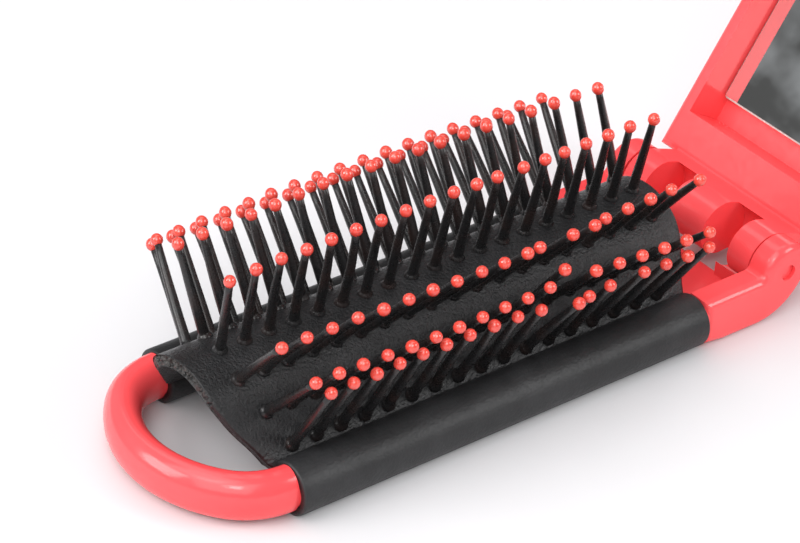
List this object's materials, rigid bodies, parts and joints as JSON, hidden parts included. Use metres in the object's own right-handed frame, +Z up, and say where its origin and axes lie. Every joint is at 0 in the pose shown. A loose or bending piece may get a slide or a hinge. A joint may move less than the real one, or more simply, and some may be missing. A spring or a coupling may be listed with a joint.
{
  "type": "folding pocket hairbrush with mirror",
  "caption": "Folding pocket comb: a looped frame with an arched pad of ball-tipped pins, and a hinged lid that holds a rectangular mirror.",
  "frame": {"origin": "middle of the flat underside of the frame's cross bar, on the surface that the comb lies on", "axes": "+X along the comb from the hanging loop to the hinge, +Y across it, +Z up; the lid stands open at rest"},
  "size_m": [0.1537, 0.0415, 0.0835],
  "materials": {
    "coral_shell": "gloss",
    "black_pad": "matte, fine grain",
    "black_pins": "semi-gloss",
    "coral_tips": "gloss",
    "mirror": "polished",
    "adhesive": "matte"
  },
  "bodies": {
    "brush": {"brush_frame": "coral_shell", "brush_pad": "black_pad", "pin_row_a": "black_pins", "pin_row_b": "black_pins", "pin_row_c": "black_pins", "pin_row_d": "black_pins", "pin_row_e": "black_pins", "pin_row_f": "black_pins", "pin_row_g": "black_pins", "tip_row_a": "coral_tips", "tip_row_b": "coral_tips", "tip_row_c": "coral_tips", "tip_row_d": "coral_tips", "tip_row_e": "coral_tips", "tip_row_f": "coral_tips", "tip_row_g": "coral_tips"},
    "lid": {"mirror_lid": "coral_shell", "mirror_glass": "mirror", "mirror_adhesive": "adhesive"}
  },
  "joints": [
    {"name": "lid_hinge", "type": "hinge", "parent": "brush", "child": "lid", "pos_m": [0.0065, 0, 0.007], "axis": [0, 1, 0], "range_deg": [-80, 7]}
  ]
}
